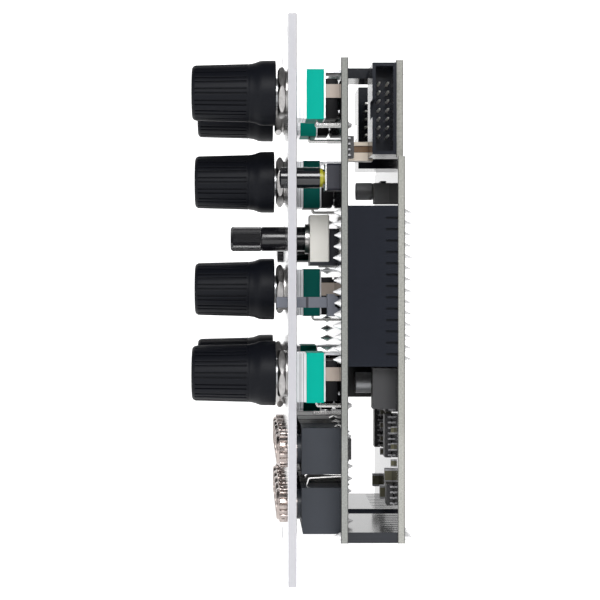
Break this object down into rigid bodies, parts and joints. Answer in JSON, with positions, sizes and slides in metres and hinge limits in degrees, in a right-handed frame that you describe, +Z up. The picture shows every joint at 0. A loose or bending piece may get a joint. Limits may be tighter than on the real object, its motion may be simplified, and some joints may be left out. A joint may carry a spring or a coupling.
{
  "type": "synthesizer module",
  "caption": "Rack synthesizer module: a flat front panel with fluted knobs, push buttons, a slide switch and jack sockets, over stacked circuit boards on pin connectors.",
  "frame": {"origin": "centre of the rack screw pattern, on the panel's rear face", "axes": "+Y runs back from the panel to the boards, +Z up the panel, +X to the right as seen from the front"},
  "size_m": [0.0606, 0.0497, 0.1284],
  "materials": {
    "panel_silver": "satin",
    "board_black": "gloss",
    "knob_charcoal": "matte",
    "pot_steel": "satin",
    "pot_teal": "satin",
    "pot_track": "matte",
    "lug_cream": "satin",
    "shaft_metal": "satin",
    "nut_steel": "polished",
    "shaft_black": "gloss",
    "can_white": "satin",
    "cap_black": "gloss",
    "plunger_yellow": "satin",
    "cover_steel": "satin",
    "base_dark": "matte",
    "switch_grey": "matte",
    "jack_slate": "satin",
    "jack_nickel": "polished",
    "wire_tin": "satin",
    "connector_black": "satin",
    "pin_gold": "polished",
    "can_aluminium": "satin",
    "chip_black": "matte",
    "ceramic_tan": "matte",
    "solder": "satin",
    "coil_cream": "satin",
    "winding_brown": "satin"
  },
  "bodies": {
    "module": {"front_panel": "panel_silver", "control_board": "board_black", "main_board": "board_black", "pot_frames": "pot_steel", "pot_bodies": "pot_teal", "pot_tracks": "pot_track", "pot_rear_plates": "pot_steel", "pot_lugs": "lug_cream", "pot_terminals": "wire_tin", "pot_washers": "nut_steel", "pot_nuts": "nut_steel", "encoder_collar": "nut_steel", "encoder_can": "can_white", "encoder_foot": "base_dark", "encoder_terminals": "wire_tin", "button_covers": "cover_steel", "button_bases": "base_dark", "button_domes": "cover_steel", "switch_body": "switch_grey", "jack_housings": "jack_slate", "jack_sleeves": "jack_nickel", "jack_nuts": "jack_nickel", "jack_springs": "wire_tin", "jack_ground_legs": "wire_tin", "side_socket_strips": "connector_black", "edge_socket_strips": "connector_black", "side_pin_strips": "connector_black", "edge_pin_strips": "connector_black", "connector_pins": "pin_gold", "side_header_shrouds": "connector_black", "side_header_pins": "pin_gold", "capacitor_bases": "base_dark", "capacitor_cans": "can_aluminium", "chip_bodies": "chip_black", "chip_leads": "wire_tin", "passive_bodies": "ceramic_tan", "passive_ends": "wire_tin", "control_board_solder": "solder", "main_rear_solder": "solder", "coil_bobbin": "coil_cream", "coil_winding": "winding_brown"},
    "control_1": {"knob_1": "knob_charcoal", "pot_shaft_1": "shaft_metal"},
    "control_2": {"knob_2": "knob_charcoal", "pot_shaft_2": "shaft_metal"},
    "control_3": {"knob_3": "knob_charcoal", "pot_shaft_3": "shaft_metal"},
    "control_4": {"knob_4": "knob_charcoal", "pot_shaft_4": "shaft_metal"},
    "control_5": {"knob_5": "knob_charcoal", "pot_shaft_5": "shaft_metal"},
    "control_6": {"knob_6": "knob_charcoal", "pot_shaft_6": "shaft_metal"},
    "control_7": {"pot_shaft_7": "shaft_metal"},
    "knurled_control": {"encoder_shaft": "shaft_black"},
    "right_button": {"right_button_cap": "cap_black", "right_button_plunger": "plunger_yellow"},
    "left_button": {"left_button_cap": "cap_black", "left_button_plunger": "plunger_yellow"},
    "switch_slider": {"switch_lever": "switch_grey"}
  },
  "joints": [
    {"name": "knob_1_turn", "type": "hinge", "parent": "module", "child": "control_1", "pos_m": [0.0193, -0.014, 0.04775], "axis": [0, 1, 0], "range_deg": [-150, 150]},
    {"name": "knob_2_turn", "type": "hinge", "parent": "module", "child": "control_2", "pos_m": [-0.0193, -0.014, 0.04775], "axis": [0, 1, 0], "range_deg": [-150, 150]},
    {"name": "knob_3_turn", "type": "hinge", "parent": "module", "child": "control_3", "pos_m": [0, -0.014, 0.02845], "axis": [0, 1, 0], "range_deg": [-150, 150]},
    {"name": "knob_4_turn", "type": "hinge", "parent": "module", "child": "control_4", "pos_m": [0, -0.014, 0.00235], "axis": [0, 1, 0], "range_deg": [-150, 150]},
    {"name": "knob_5_turn", "type": "hinge", "parent": "module", "child": "control_5", "pos_m": [0.0193, -0.014, -0.01695], "axis": [0, 1, 0], "range_deg": [-150, 150]},
    {"name": "knob_6_turn", "type": "hinge", "parent": "module", "child": "control_6", "pos_m": [-0.0193, -0.014, -0.01695], "axis": [0, 1, 0], "range_deg": [-150, 150]},
    {"name": "bare_shaft_turn", "type": "hinge", "parent": "module", "child": "control_7", "pos_m": [0, -0.006, -0.0206], "axis": [0, 1, 0], "range_deg": [-150, 150]},
    {"name": "knurled_shaft_turn", "type": "hinge", "parent": "module", "child": "knurled_control", "pos_m": [0, -0.006, 0.0146], "axis": [0, 1, 0], "range_deg": [-150, 150]},
    {"name": "right_button_press", "type": "slide", "parent": "module", "child": "right_button", "axis": [0, 1, 0], "range_m": [0, 0.0003], "stiffness_N_per_m": 500},
    {"name": "left_button_press", "type": "slide", "parent": "module", "child": "left_button", "axis": [0, 1, 0], "range_m": [0, 0.0003], "stiffness_N_per_m": 500},
    {"name": "switch_slide", "type": "slide", "parent": "module", "child": "switch_slider", "axis": [0, 0, 1], "range_m": [-0.00128, 0]}
  ]
}
